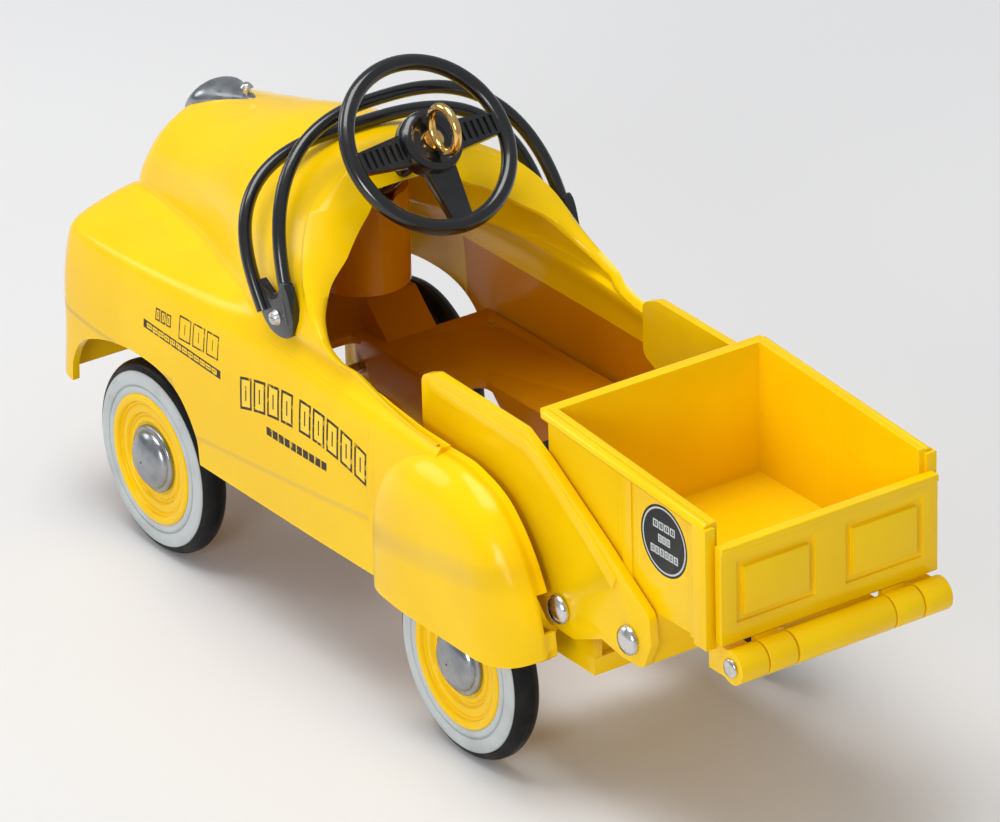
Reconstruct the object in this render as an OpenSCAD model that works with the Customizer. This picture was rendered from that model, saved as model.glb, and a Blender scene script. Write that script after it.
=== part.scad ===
// Die-cast toy dump truck in the style of a 1950s pedal car.
// +X forward, +Y left, +Z up; origin on the ground at the middle of the overall box.

/* [Wheels and axles] */
// Distance between the front and the rear axle
wheelbase = 90; // [84:1:98]
// Overall diameter of a tyre
tyre_d = 34; // [31:0.5:36]
// Width of a tyre
tyre_w = 5; // [4:0.5:5.5]
// Distance from the middle plane to the outer face of a tyre
half_track = 28.9; // [28:0.1:30]
// Diameter of the wheel rim that the tyre is stretched over
rim_d = 23; // [21:0.5:25]
// Diameter of an axle
axle_d = 3; // [2.5:0.1:3.5]
// Diameter of a hubcap
cap_d = 12; // [10:0.5:13]

/* [Body] */
// Distance from the front axle to the nose
nose_ahead = 31; // [28:1:36]
// Half width of the body at the door
body_half_w = 29.5; // [29:0.1:31]
// Height of the lower edge of the body
rocker_z = 23; // [21:0.5:25]
// Height of the bonnet crown at the cowl
cowl_z = 78; // [74:0.5:80]
// Wall of the pressed body
body_wall = 1.4; // [1:0.1:1.8]
// How far the rear mudguards stand out from the body's sides
guard_out = 2.7; // [2.3:0.1:3.5]

/* [Steering] */
// Outer diameter of the steering wheel
wheel_rim_d = 31.4; // [28:0.2:34]
// Thickness of the steering wheel rim
wheel_rim_t = 2.7; // [2.2:0.1:3.2]
// Slope of the steering column above level
column_deg = 42; // [36:1:46]
// Diameter of the steering column
column_d = 3.2; // [2.6:0.1:3.6]

/* [Dump bed] */
// Length of the bed inside its rim
bed_len = 42; // [38:1:45]
// Outer width of the bed walls
bed_w = 41; // [38:0.5:42]
// Height of the bed rim above ground at its front end
bed_rim_z = 65; // [62:0.5:67]
// Wall of the bed
bed_wall = 1.2; // [1:0.1:1.6]
// Thickness of a lift arm
arm_t = 1.5; // [1.2:0.1:1.8]
// Diameter of the rod that the bed tilts on
rod_d = 3; // [2.4:0.1:3.4]

/* [Tailgate] */
// Height of the tailgate panel
gate_h = 16.6; // [14:0.2:18]
// Thickness of the tailgate panel
gate_t = 1.6; // [1.2:0.1:2]
// Outer diameter of the hinge barrels
barrel_d = 5.6; // [5:0.2:6.4]
// Diameter of the hinge pin
gate_pin_d = 2; // [1.6:0.1:2.4]

/* [Fits] */
// Radial play of a part that turns on a pin or rod
play = 0.06; // [0.03:0.01:0.09]
// Gap between parts that pass each other
gap = 0.35; // [0.3:0.05:0.5]

/* [Hidden] */
$fn = 48;

enamel = "#ffd800";
enamel_shade = "#e8a800";
black_gloss = "#151515";
rubber = "#1c1c1c";
white_rubber = "#e4e8ea";
steel = "#b8bcc0";
chrome = "#d8dce0";
gold = "#d8a838";

// wheels and axles
tyre_r = tyre_d / 2;
front_x = wheelbase / 2;
rear_x = -wheelbase / 2;
half_w = tyre_w / 2;
wheel_y = half_track - half_w;
rim_rad = rim_d / 2;
wall_out_r = tyre_r - 1.6;
nose_x = front_x + nose_ahead;
nose_bow = 2;
body_rear_x = rear_x + 6;
guard_half_w = body_half_w + guard_out;

// steering
hub_x = 1.5;
hub_z = 82.2;

// bed and arms
rod_x = rear_x - 19.8;
rod_z = 32.6;
rivet_x = rear_x - 38.2;
rivet_z = 34.9;
bed_front_x = rear_x - 15;
bed_rear_x = bed_front_x - bed_len;
bed_floor_z = 42.2;
bed_bottom_z = bed_floor_z - bed_wall;
rim_drop = 3;
rim_r = 0.9;
arm_in_y = bed_w / 2 + gap;
arm_out_y = arm_in_y + arm_t;
guard_in_y = arm_out_y + 1.85;

// tailgate
hinge_x = bed_rear_x - 4.6;
hinge_z = 39.2;
gate_x = bed_rear_x - 1.3 - gate_t;
gate_half_w = bed_w / 2 + 0.2;
gate_z = hinge_z + barrel_d / 2 + 0.2;
gate_pin_half = bed_w / 2 - 0.3;
barrel_out = gate_pin_half - 5.1;
barrel_in = barrel_out - 5.9;
bed_barrels = [[barrel_out, gate_pin_half], [-barrel_in, barrel_in], [-gate_pin_half, -barrel_out]];
gate_barrels = [[barrel_in + gap, barrel_out - gap], [-barrel_out + gap, -barrel_in - gap]];

// pan
pan_z = 34;
pan_t = 1.4;
pan_half_w = body_half_w - body_wall - 0.3;
deck_z = tyre_r + 3.6;
deck_t = 1.6;
deck_half_w = arm_in_y - 2.65;
deck_rear_x = rod_x - 3;
slot_half_w = deck_half_w - 6.7;
lip = 1.4;
step_x = rear_x + 21;
pan_wide_x = front_x - tyre_r - 1.5;
nose_pan_half_w = 17;

// fasteners
screw_r = 0.9;
screw_xs = [step_x + 4, pan_wide_x - 5.5];
screw_y = 24.8;
boss_h = 4;
boss_r = 2.4;
rod_head_r = 2.5;
arm_rivet_r = 1.5;
rod_half = arm_out_y + 0.12;
cheek_t = 1.6;
cheek_y = deck_half_w - cheek_t;
hanger_y = deck_half_w - 4.2;
hanger_t = 2;
axle_past = 1.2;

// nose and windshield frame
mouth_z = 29;
mouth_h = 13;
mouth_half_w = 12;
mouth_x = nose_x - 4.8;
nose_face_x = nose_x - 2.4;
lamp_y = 17.8;
lamp_z = 37;
lamp_r = 4.4;
rivet_bow_x = nose_x - 20.5;
frame_x = 4.8;
frame_y = 27.4;
hoop_back = 3.4;
rail_ahead = 3.4;
frame_foot_z = 58.4;
frame_top_x = 14.5;
frame_top_z = 86.1;
rail_top_x = 21.5;
rail_top_z = 79;
frame_tube_r = 1;
column_len = 46;

// pedals
pedal_x = front_x - 14;
pedal_z = 29.5;
pedal_rod_r = 1;

// A pair of copies, one on each side of the middle plane.
module both_sides() {
    children();
    mirror([0, 1, 0]) children();
}

// A cylinder along Y from y0 to y1.
module rod_y(r, y0, y1, x = 0, z = 0) {
    translate([x, y1, z]) rotate([90, 0, 0]) cylinder(r = r, h = y1 - y0);
}

// A side-view outline in X and Z, extruded along Y from y0 to y1.
module slab_y(y0, y1) {
    translate([0, y1, 0]) rotate([90, 0, 0]) linear_extrude(y1 - y0) children();
}

// ---------- body shell ----------

// Half section of the body at station x: points [y, z] from the lower edge to the crown.
function mix(a, b, t) = a + (b - a) * t;
function ease(t) = t * t * (3 - 2 * t);
function crown_z(x) = lookup(x, [[-70, cowl_z - 6], [8, cowl_z], [24, cowl_z - 0.2], [34, cowl_z - 0.9],
    [46, cowl_z - 3.8], [54, cowl_z - 5.8], [nose_x - 11, cowl_z - 8.2], [nose_x - 8, cowl_z - 10.5],
    [nose_x - 6, cowl_z - 14], [nose_x - 4.5, cowl_z - 19], [nose_x - 3, cowl_z - 23],
    [nose_x, cowl_z - 25.5]]);
function ledge_z(x) = lookup(x, [[-70, 52], [8, 56], [30, 54.5], [55, 53.6], [nose_x - 4, 53], [nose_x, 51]]);
function shoulder_z(x) = lookup(x, [[-70, 51], [8, 52], [40, 51], [60, 49.8], [nose_x - 4, 48.6],
    [nose_x, 46.5]]);
function side_y(x) = lookup(x, [[-70, body_half_w - 2.4], [-30, body_half_w - 0.6], [0, body_half_w],
    [40, body_half_w + 0.3], [60, body_half_w], [nose_x - 6, body_half_w - 0.8],
    [nose_x - 2.5, body_half_w - 1.8],
    [nose_x - 0.8, body_half_w - 2.8], [nose_x, body_half_w - 4]]);
function bonnet_y(x) = lookup(x, [[-70, 25], [-4, 27.4], [8, 26.8], [24, 23], [45, 17.6], [60, 15],
    [nose_x - 6, 13.8], [nose_x - 2, 12], [nose_x, 9]]);
function flare(x) = lookup(x, [[60, 0], [nose_x, 1.2]]);
function section(x) = let (sy = side_y(x), by = bonnet_y(x), cz = crown_z(x), lz = ledge_z(x),
        sz = shoulder_z(x), ez = mix(sz, lz, 0.75))
    [[sy + flare(x), rocker_z], [sy + 0.4, rocker_z + 9], [sy + 0.3, mix(rocker_z, sz, 0.62)],
        [sy - 0.2, sz - 5],
     [sy - 0.8, sz - 1.2], [sy - 2.2, ez - 0.8], [mix(sy - 3, by, 0.4), lz],
     [by, lz + 1.2], [by - 0.6, mix(lz, cz, 0.25)], [by * 0.9, mix(lz, cz, 0.5)],
     [by * 0.74, mix(lz, cz, 0.74)], [by * 0.5, mix(lz, cz, 0.9)], [by * 0.22, mix(lz, cz, 0.985)],
     [0, cz]];
// Plan rounding of the nose: how far a point at half width y sits behind the middle.
function plan_back(x, y) = nose_bow * ease(max(0, (x - 40) / (nose_x - 40))) * pow(y / body_half_w, 2);
function ring(x, inset, drop) = let (s = section(x), n = len(s))
    [for (i = [0:2 * n - 2]) let (p = i < n ? s[i] : s[2 * n - 2 - i], side = i < n ? 1 : -1,
            y = max(0, p[0] - inset))
        [x - plan_back(x, p[0]), side * y, i == 0 || i == 2 * n - 2 ? p[1] - drop : p[1] - inset]];
// A closed body lofted through the rings, with flat ends made of strips.
module loft(stations, inset, drop) {
    rings = [for (x = stations) ring(x, inset, drop)];
    m = len(rings[0]);
    k = len(rings);
    half = (m - 1) / 2;
    near = [for (i = [0:half - 1]) i < half - 1 ? [i, i + 1, m - 2 - i, m - 1 - i] : [i, half, m - 1 - i]];
    far = [for (f = near) [for (q = [len(f) - 1:-1:0]) f[q] + (k - 1) * m]];
    skin = [for (j = [0:k - 2]) for (i = [0:m - 1]) let (a = j * m + i, b = j * m + (i + 1) % m)
        each i < half ? [[a, a + m, b + m], [a, b + m, b]] : [[a, a + m, b], [a + m, b + m, b]]];
    polyhedron([for (r = rings) for (p = r) p], concat(skin, near, far), 4);
}
stations = [body_rear_x, for (x = [-30, -22, -14, -6, 0, 6, 14, 24, 34, 44, 54, 60]) if (x < nose_x - 12) x,
    for (back = [11, 8, 6, 4.5, 3, 1, 0]) nose_x - back];
// Side view of the cockpit opening: everything above this line, behind the cowl, is open.
module cockpit_cut() {
    slab_y(-60, 60)
        polygon([[13, 90], [12.5, cowl_z - 2], [8, 73.5], [3, 68.5], [0, 64], [-4, 59.5], [-9, 56.5],
            [-17, 54.5], [-24, 53], [-40, 51.5], [-90, 51.5], [-90, 90]]);
}
// Side view of the open front wheel arch.
module arch_outline() {
    translate([front_x, 0])
        polygon([[2.5 - tyre_r, rocker_z - 20], [0.2 - tyre_r, rocker_z], [-0.3 - tyre_r, rocker_z + 5],
            [6.5 - tyre_r, tyre_d + 2.5], [4, tyre_d + 2.4], [tyre_r - 2, tyre_d], [tyre_r + 4, tyre_d - 2.5],
            [tyre_r + 6, tyre_d - 8], [tyre_r + 6.5, rocker_z - 20]]);
}
// Side view of a rear mudguard, with the size of its rounded corners.
module guard_outline(inset) {
    offset(r = 4 - inset) offset(delta = -4)
        polygon([[rear_x + 22, rocker_z - 12], [rear_x + 21.5, 36], [rear_x + 19, 45.5], [rear_x + 10, 51],
            [rear_x - 3, 50.5], [rear_x - 12, 47], [rear_x - 18, 40], [rear_x - 21.5, 32],
            [rear_x - 21.5, 27.5], [rear_x - 14, rocker_z - 1], [rear_x - 8, rocker_z - 12]]);
}
module guard_solid(inset) {
    hull() {
        slab_y(guard_in_y, guard_half_w - 5) guard_outline(inset);
        slab_y(guard_half_w - 3, guard_half_w - 1 - inset) guard_outline(inset + 2.2);
        slab_y(guard_half_w - 3, guard_half_w - inset) guard_outline(inset + 5);
    }
}
module body_shell() {
    color(enamel) difference() {
        union() {
            difference() {
                loft(stations, 0, 0);
                loft([for (i = [0:len(stations) - 1]) i == 0 ? stations[0] - 1 :
                    min(stations[i], nose_x - body_wall - 0.1 * (len(stations) - i))], body_wall, 2);
            }
            both_sides() guard_solid(0);
            both_sides() for (x = screw_xs) screw_post(x);
        }
        both_sides() {
            guard_solid(body_wall);
            rod_y(tyre_r + 2 * gap, 10, guard_half_w - body_wall, rear_x, tyre_r);
            slab_y(body_half_w - 6, body_half_w + 6) arch_outline();
            lamp_seat();
            rod_y(rod_head_r + gap, 10, arm_out_y + 3.6, rod_x, rod_z);
            rod_y(screw_r, 10, 40, frame_x, frame_foot_z);
            for (x = screw_xs) translate([x, screw_y, pan_z - boss_h - 1])
                cylinder(r = screw_r, h = boss_h + 2);
        }
        cockpit_cut();
        translate([-100, -60, rocker_z - 30]) cube([200, 120, 29.5]);
        translate([nose_x - 12, -mouth_half_w, mouth_z]) cube([30, 2 * mouth_half_w, mouth_h]);
    }
}
// A boss inside the side wall that the pan rests on.
module screw_post(x) {
    depth = body_half_w - body_wall / 3 - screw_y;
    translate([x - boss_r, screw_y - boss_r, pan_z - boss_h]) cube([2 * boss_r, depth + boss_r, boss_h]);
}

// ---------- pan, dash and trim ----------

module pan_outline() {
    difference() {
        union() {
            translate([step_x, -deck_half_w]) square([4, 2 * deck_half_w]);
            translate([step_x + 2, -pan_half_w]) square([pan_wide_x - step_x - 2, 2 * pan_half_w]);
            translate([0, -nose_pan_half_w]) square([nose_x - 7, 2 * nose_pan_half_w]);
        }
        offset(r = 2) offset(delta = -2) {
            translate([step_x - 36, -slot_half_w]) square([41 - step_x, 2 * slot_half_w]);
            translate([0, -4.5]) square([pedal_x + 1, 9]);
        }
    }
}
module axle_hanger(x, top_z) {
    for (y = [-hanger_y, hanger_y]) difference() {
        translate([x - 3.4, y - hanger_t / 2, tyre_r - 3.4]) cube([6.8, hanger_t, top_z - tyre_r + 3.4]);
        rod_y(axle_d / 2, y - hanger_t, y + hanger_t, x, tyre_r);
    }
}
module chassis_pan() {
    color(enamel_shade) {
        difference() {
            translate([0, 0, pan_z]) linear_extrude(pan_t) pan_outline();
            both_sides() for (x = screw_xs)
                translate([x, screw_y, pan_z - 1]) cylinder(r = screw_r, h = pan_t + 2);
        }
        // toe boards and the flanges of the middle slot
        both_sides() {
            slab_y(7, nose_pan_half_w) translate([pedal_x, pan_z])
                polygon([[-5, pan_t], [3, pan_t], [3, 7], [1, 7]]);
            slab_y(4.5, 5.7) polygon([[pedal_x + 0.5, pan_z], [pedal_x - 7, deck_z + deck_t],
                [6, deck_z + deck_t], [6, pan_z]]);
            slab_y(slot_half_w, slot_half_w + 1.4)
                polygon([[2, pan_z], [-12, deck_z], [step_x - 1, deck_z], [step_x - 1, pan_z]]);
        }
        // step down to the rear deck
        both_sides() translate([step_x - 1.4, slot_half_w, deck_z])
            cube([1.4, deck_half_w - slot_half_w, pan_z + pan_t - deck_z]);
        difference() {
            translate([deck_rear_x, -deck_half_w, deck_z])
                cube([step_x - deck_rear_x, 2 * deck_half_w, deck_t]);
            translate([rear_x - 1, -slot_half_w, deck_z - 1]) cube([30, 2 * slot_half_w, deck_t + 2]);
        }
        // raised lip round the deck
        both_sides() translate([deck_rear_x, deck_half_w - lip, deck_z + deck_t])
            cube([step_x - 2 - deck_rear_x, lip, lip]);
        translate([deck_rear_x, -deck_half_w, deck_z + deck_t]) cube([lip, 2 * deck_half_w, lip]);
        // cheeks that hold the tilt rod
        both_sides() difference() {
            slab_y(cheek_y, cheek_y + cheek_t)
                polygon([[rod_x - 2.9, deck_z + deck_t], [rod_x + 8, deck_z + deck_t],
                    [rod_x + 3.2, rod_z + 1],
                    [rod_x + 1.8, rod_z + 3.2], [rod_x - 1.8, rod_z + 3.2], [rod_x - 2.9, rod_z + 1]]);
            rod_y(rod_d / 2, 0, 40, rod_x, rod_z);
        }
        axle_hanger(front_x, pan_z);
        axle_hanger(rear_x, deck_z);
        // ears that hold the pedal rod
        difference() {
            for (y = [-6, 6]) translate([pedal_x - 2.2, y - 0.8, pedal_z - 2.2])
                cube([4.4, 1.6, pan_z - pedal_z + 2.2]);
            rod_y(pedal_rod_r, -9, 9, pedal_x, pedal_z);
        }
    }
}
module dash_apron() {
    color(enamel_shade) difference() {
        translate([22, 0, 51]) cylinder(r = 8, h = 17);
        translate([22, 0, 50]) cylinder(r = 8 - body_wall, h = 20);
        translate([22, -10, 50]) cube([20, 20, 20]);
        column_axis() cylinder(r = column_d / 2 + 1.2, h = 60);
    }
}
module grille() {
    depth = 1.6;
    color(chrome) translate([mouth_x, 0, mouth_z]) {
        difference() {
            translate([0, -mouth_half_w, 0]) cube([depth, 2 * mouth_half_w, mouth_h]);
            translate([-1, -mouth_half_w + 1.4, 1.4])
                cube([depth + 2, 2 * mouth_half_w - 2.8, mouth_h - 2.8]);
        }
        for (y = [-9:3:9]) translate([0.4, y - 0.5, 1]) cube([1.2, 1, mouth_h - 2]);
    }
}
module lamp_seat() {
    translate([nose_face_x, lamp_y, lamp_z]) rotate([0, 90, 0]) cylinder(r = lamp_r, h = 6);
}
module headlight() {
    translate([nose_face_x, lamp_y, lamp_z]) rotate([0, 90, 0]) rotate_extrude()
        polygon([[0, 0], [lamp_r, 0], [lamp_r, 0.9], [lamp_r - 0.7, 1.5], [lamp_r - 1, 1.2],
            [lamp_r * 0.55, 2], [0, 2.4]]);
}
module headlight_left() { color(chrome) headlight(); }
module headlight_right() { color(chrome) mirror([0, 1, 0]) headlight(); }
module on_crown(x, lift) {
    translate([x, 0, crown_z(x) + lift]) children();
}
module hood_ornament() {
    color(chrome) difference() {
        hull() {
            on_crown(nose_x - 6.4, 0) scale([1.2, 1, 0.8]) sphere(r = 1.2, $fn = 20);
            on_crown(nose_x - 11.5, 0.3) scale([1.6, 2.6, 1.2]) sphere(r = 2, $fn = 24);
            on_crown(nose_x - 22, -0.4) scale([1, 1.2, 0.7]) sphere(r = 1.2, $fn = 20);
        }
        loft(stations, 0, 0);
        translate([rivet_bow_x, 0, 60]) cylinder(r = 0.7, h = 30);
    }
}
module ornament_rivet() {
    color(steel) on_crown(rivet_bow_x, 0.4) {
        cylinder(r = 0.7, h = 1.4);
        translate([0, 0, 1.4]) cylinder(r1 = 1.2, r2 = 0.6, h = 0.7);
    }
}

// ---------- windshield frame ----------

// A point on an arch that rises from two feet to a top in the middle plane, at angle t along it.
function arch_point(t, foot_x, y_half, top_x, top_z, bow, n) = let (h = pow(sin(t), 2 / n))
    [mix(foot_x, top_x, pow(h, bow)), y_half * sign(cos(t)) * pow(abs(cos(t)), 2 / n),
        mix(frame_foot_z, top_z, h)];
// A round tube swept along a list of points that lie on one arch.
module tube(path, r, sides = 10) {
    n = len(path);
    function unit(v) = v / norm(v);
    function along(i) = unit(path[min(i + 1, n - 1)] - path[max(i - 1, 0)]);
    rings = [for (i = [0:n - 1]) let (d = along(i), u = unit(cross(d, [1, 0, 0.001])), v = cross(d, u))
        for (k = [0:sides - 1]) path[i] + r * (cos(360 * k / sides) * u + sin(360 * k / sides) * v)];
    skin = [for (i = [0:n - 2]) for (k = [0:sides - 1])
        let (a = i * sides + k, b = i * sides + (k + 1) % sides) [a, a + sides, b + sides, b]];
    ends = [[for (k = [0:sides - 1]) k], [for (k = [sides - 1:-1:0]) (n - 1) * sides + k]];
    polyhedron(rings, concat(skin, ends), 6);
}
module windshield_frame() {
    hoop = [for (t = [0:5:180])
        arch_point(t, frame_x - hoop_back, frame_y, frame_top_x, frame_top_z, 1.2, 2.6)];
    rail = [for (t = [0:5:180])
        arch_point(t, frame_x + rail_ahead, frame_y + 1, rail_top_x, rail_top_z, 1, 3)];
    color(black_gloss) difference() {
        union() {
            tube(hoop, frame_tube_r);
            tube(rail, frame_tube_r);
            both_sides() slab_y(frame_y - 0.8, frame_y + 0.8) frame_foot_outline();
        }
        loft(stations, 0, 0);
        both_sides() rod_y(screw_r, 0, 40, frame_x, frame_foot_z);
    }
}
module frame_foot_outline() {
    translate([frame_x, frame_foot_z])
        polygon([[-4.4, -2.4], [-1, -2.8], [2.6, -2.2], [4.4, 1], [4.4, 3], [-3.8, 4], [-5, 1]]);
}
module windshield_screws() {
    color(steel) both_sides() {
        rod_y(screw_r, frame_y - 4.5, frame_y + 0.8, frame_x, frame_foot_z);
        translate([frame_x, frame_y + 0.8, frame_foot_z]) rotate([-90, 0, 0]) difference() {
            cylinder(r1 = 1.5, r2 = 1, h = 0.9);
            for (a = [0, 90]) rotate(a) translate([-0.8, -0.15, 0.5]) cube([1.6, 0.3, 1]);
        }
    }
}

// ---------- steering ----------

// Children with +Z along the column, from the middle of the hub forward and down.
module column_axis() {
    translate([hub_x, 0, hub_z]) rotate([0, 90 + column_deg, 0]) children();
}
module column_bracket() {
    color(enamel_shade) difference() {
        union() {
            translate([22, -8, 56]) cube([body_wall, 16, 12]);
            column_axis() translate([0, 0, 24.5]) cylinder(r = 3.2, h = 9);
        }
        column_axis() cylinder(r = column_d / 2 + play, h = 60);
    }
}
module steering_column() {
    color(black_gloss) column_axis() translate([0, 0, 1.6]) cylinder(r = column_d / 2, h = column_len - 1.6);
}
module spoke(ribbed) {
    spoke_in = 4.6;
    spoke_out = wheel_rim_d / 2 - wheel_rim_t / 2;
    difference() {
        translate([spoke_in, 0, -0.9]) linear_extrude(1.8)
            polygon([[0, -2.7], [spoke_out - spoke_in, -1.7], [spoke_out - spoke_in, 1.7], [0, 2.7]]);
        if (ribbed) for (i = [0:5])
            translate([spoke_in + 1.2 + i * 1.25, -1.5, -1]) cube([0.55, 3, 0.6]);
    }
}
module steering_wheel() {
    color(black_gloss) column_axis() {
        rotate_extrude($fn = 72) translate([(wheel_rim_d - wheel_rim_t) / 2, 0])
            circle(d = wheel_rim_t, $fn = 24);
        difference() {
            rotate_extrude() polygon([[0, 1.6], [0, -2.2], [3.4, -2.2], [4.2, -2.6], [5.2, -2.2], [5.5, -1],
                [5.5, 0.9], [4.2, 1.6]]);
            translate([0, 0, -2.9]) cylinder(r = 2.6, h = 0.9);
        }
        rotate(90) spoke(true);
        rotate(-90) spoke(true);
        spoke(false);
    }
}
module horn_ring() {
    color(gold) column_axis() {
        translate([0, 0, -2]) mirror([0, 0, 1]) cylinder(r = 1.7, h = 0.5);
        translate([0, 0, -6.4]) rotate([90, 0, 0]) rotate_extrude($fn = 40)
            translate([3.7, 0]) circle(r = 0.75, $fn = 16);
    }
}

// ---------- wheels ----------

module on_wheel(x, side) {
    translate([x, side * wheel_y, tyre_r]) rotate([0, 0, side > 0 ? 0 : 180]) rotate([-90, 0, 0]) children();
}
module tyre(x, side) {
    color(rubber) on_wheel(x, side) rotate_extrude($fn = 96) difference() {
        polygon([[rim_rad, -half_w + 0.4], [rim_rad + 2.6, -half_w], [tyre_r - 1.4, -half_w + 0.3],
            [tyre_r - 0.5, -half_w + 0.9], [tyre_r, -half_w + 1.9], [tyre_r, half_w - 1.9],
            [tyre_r - 0.5, half_w - 0.9], [tyre_r - 1.4, half_w - 0.3], [rim_rad + 2.6, half_w],
            [rim_rad, half_w - 0.1]]);
        translate([rim_rad - 1, half_w - 0.6]) square([wall_out_r - rim_rad + 1, 1]);
    }
}
module whitewall(x, side) {
    color(white_rubber) on_wheel(x, side) rotate_extrude($fn = 96)
        polygon([[rim_rad, half_w - 0.6], [wall_out_r, half_w - 0.6], [wall_out_r, half_w - 0.1],
            [wall_out_r - 0.8, half_w + 0.2], [rim_rad + 1.6, half_w + 0.25], [rim_rad + 1.2, half_w + 0.05],
            [rim_rad + 0.8, half_w + 0.25], [rim_rad, half_w]]);
}
module wheel_disc(x, side) {
    bore_r = axle_d / 2 + play;
    cap_r = cap_d / 2;
    color(enamel) on_wheel(x, side) rotate_extrude($fn = 96)
        polygon([[bore_r, -half_w - 0.2], [bore_r + 1.9, -half_w - 0.2], [bore_r + 1.9, -1.2],
            [rim_rad - 2.6, -0.9], [rim_rad - 1.8, -half_w + 0.4], [rim_rad, -half_w + 0.4],
            [rim_rad, half_w + 0.1],
            [rim_rad - 0.9, half_w + 0.35], [rim_rad - 1.5, half_w - 0.1], [rim_rad - 2.2, half_w - 1.1],
            [rim_rad - 3.2, half_w - 1.1], [rim_rad - 3.7, half_w - 0.5], [cap_r + 0.6, half_w - 0.4],
            [cap_r, half_w - 0.9], [bore_r, half_w - 0.9]]);
}
module hubcap(x, side) {
    cap_r = cap_d / 2;
    base = half_w - 0.9;
    color(chrome) on_wheel(x, side) rotate_extrude($fn = 72)
        polygon(concat([[0, base], [cap_r - 0.1, base], [cap_r - 0.1, base + 0.7], [cap_r - 0.7, base + 0.9]],
            [for (a = [10:16:90]) [(cap_r - 0.9) * cos(a), base + 0.7 + 2.3 * sin(a)]]));
}
module axle(x) {
    color(steel) rod_y(axle_d / 2, -wheel_y - axle_past, wheel_y + axle_past, x, tyre_r);
}
module front_axle() { axle(front_x); }
module rear_axle() { axle(rear_x); }

// ---------- pedals ----------

module pedal_rod() {
    color(steel) rod_y(pedal_rod_r, -13, 13, pedal_x, pedal_z);
}
module pedal() {
    color(steel) difference() {
        union() {
            rod_y(2.2, 8, 11, pedal_x, pedal_z);
            translate([pedal_x - 0.7, 8.7, pedal_z - 13]) cube([1.4, 1.6, 12]);
        }
        rod_y(pedal_rod_r + play, 7, 12, pedal_x, pedal_z);
    }
    color(rubber) translate([pedal_x - 3.5, 6, pedal_z - 15]) cube([7, 7, 2]);
}
module pedal_left() { pedal(); }
module pedal_right() { mirror([0, 1, 0]) pedal(); }

// ---------- dump bed ----------

module bed_side_outline() {
    polygon([[bed_front_x, bed_bottom_z], [bed_front_x, bed_rim_z], [bed_rear_x, bed_rim_z - rim_drop],
        [bed_rear_x, bed_bottom_z]]);
}
module dump_bed() {
    half = bed_w / 2;
    slope = atan(rim_drop / bed_len);
    rim_out = rim_r * 0.55;
    color(enamel) {
        // walls and floor, open at the back
        difference() {
            slab_y(-half, half) bed_side_outline();
            translate([bed_rear_x - 1, -half + bed_wall, bed_floor_z])
                cube([bed_len + 1 - bed_wall, 2 * (half - bed_wall), 40]);
        }
        // rolled rim along the sides and the front
        both_sides() translate([bed_front_x, half + rim_out, bed_rim_z - rim_r]) rotate([0, -90 - slope, 0])
            cylinder(r = rim_r, h = bed_len / cos(slope), $fn = 24);
        rod_y(rim_r, -half - rim_out, half + rim_out, bed_front_x + rim_out, bed_rim_z - rim_r);
        // pressed ribs and corner posts
        both_sides() {
            translate([rivet_x + 1.2, half - 0.3, bed_bottom_z + 1]) cube([2.4, 0.25 + gap, 20]);
            translate([bed_rear_x + 2.4, half - 0.3, bed_bottom_z]) cube([2.2, 0.9, 19.5]);
            translate([bed_rear_x - 0.8, half - 0.3, bed_bottom_z]) cube([3.2, 1.9, 20.4]);
        }
        // channel under the floor that takes the arm rivets
        difference() {
            slab_y(-half, half) polygon([[rivet_x + 5, bed_bottom_z], [rivet_x - 5, bed_bottom_z],
                [rivet_x - 3.6, rivet_z - 3.2], [rivet_x + 3.6, rivet_z - 3.2]]);
            slab_y(-half + 3, half - 3) polygon([[rivet_x + 3, bed_bottom_z], [rivet_x - 3, bed_bottom_z],
                [rivet_x - 2, rivet_z - 5], [rivet_x + 2, rivet_z - 5]]);
            rod_y(arm_rivet_r, -40, 40, rivet_x, rivet_z);
        }
        // fixed barrels of the tailgate hinge
        leaf_h = bed_bottom_z + 0.3 - hinge_z + barrel_d / 2;
        difference() {
            union() for (k = bed_barrels) {
                rod_y(barrel_d / 2, k[0], k[1], hinge_x, hinge_z);
                translate([hinge_x, k[0] + 0.6, hinge_z - barrel_d / 2])
                    cube([bed_rear_x - hinge_x + 2, k[1] - k[0] - 1.2, leaf_h]);
            }
            rod_y(gate_pin_d / 2, -40, 40, hinge_x, hinge_z);
        }
    }
}
module arm_outline() {
    difference() {
        offset(r = 2) offset(delta = -2)
            polygon([[rod_x + 37, rod_z + 26.4], [rod_x + 33, rod_z + 28], [rod_x + 9, rod_z + 27.6],
                [rod_x + 3, rod_z + 24.6], [rod_x - 11.5, rod_z + 16], [rivet_x - 5.2, rivet_z + 6],
                [rivet_x - 5.6, rivet_z + 1], [rivet_x - 3.4, rivet_z - 3.8], [rivet_x + 2.4, rivet_z - 3.9],
                [rod_x - 11, rod_z - 0.8], [rod_x - 3.5, rod_z - 4], [rod_x + 3.5, rod_z - 4],
                [rod_x + 8, rod_z + 1], [rod_x + 30, rod_z + 14], [rod_x + 37, rod_z + 17]]);
        translate([rod_x, rod_z]) circle(r = rod_d / 2 + play);
        translate([rivet_x, rivet_z]) circle(r = arm_rivet_r);
    }
}
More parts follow.
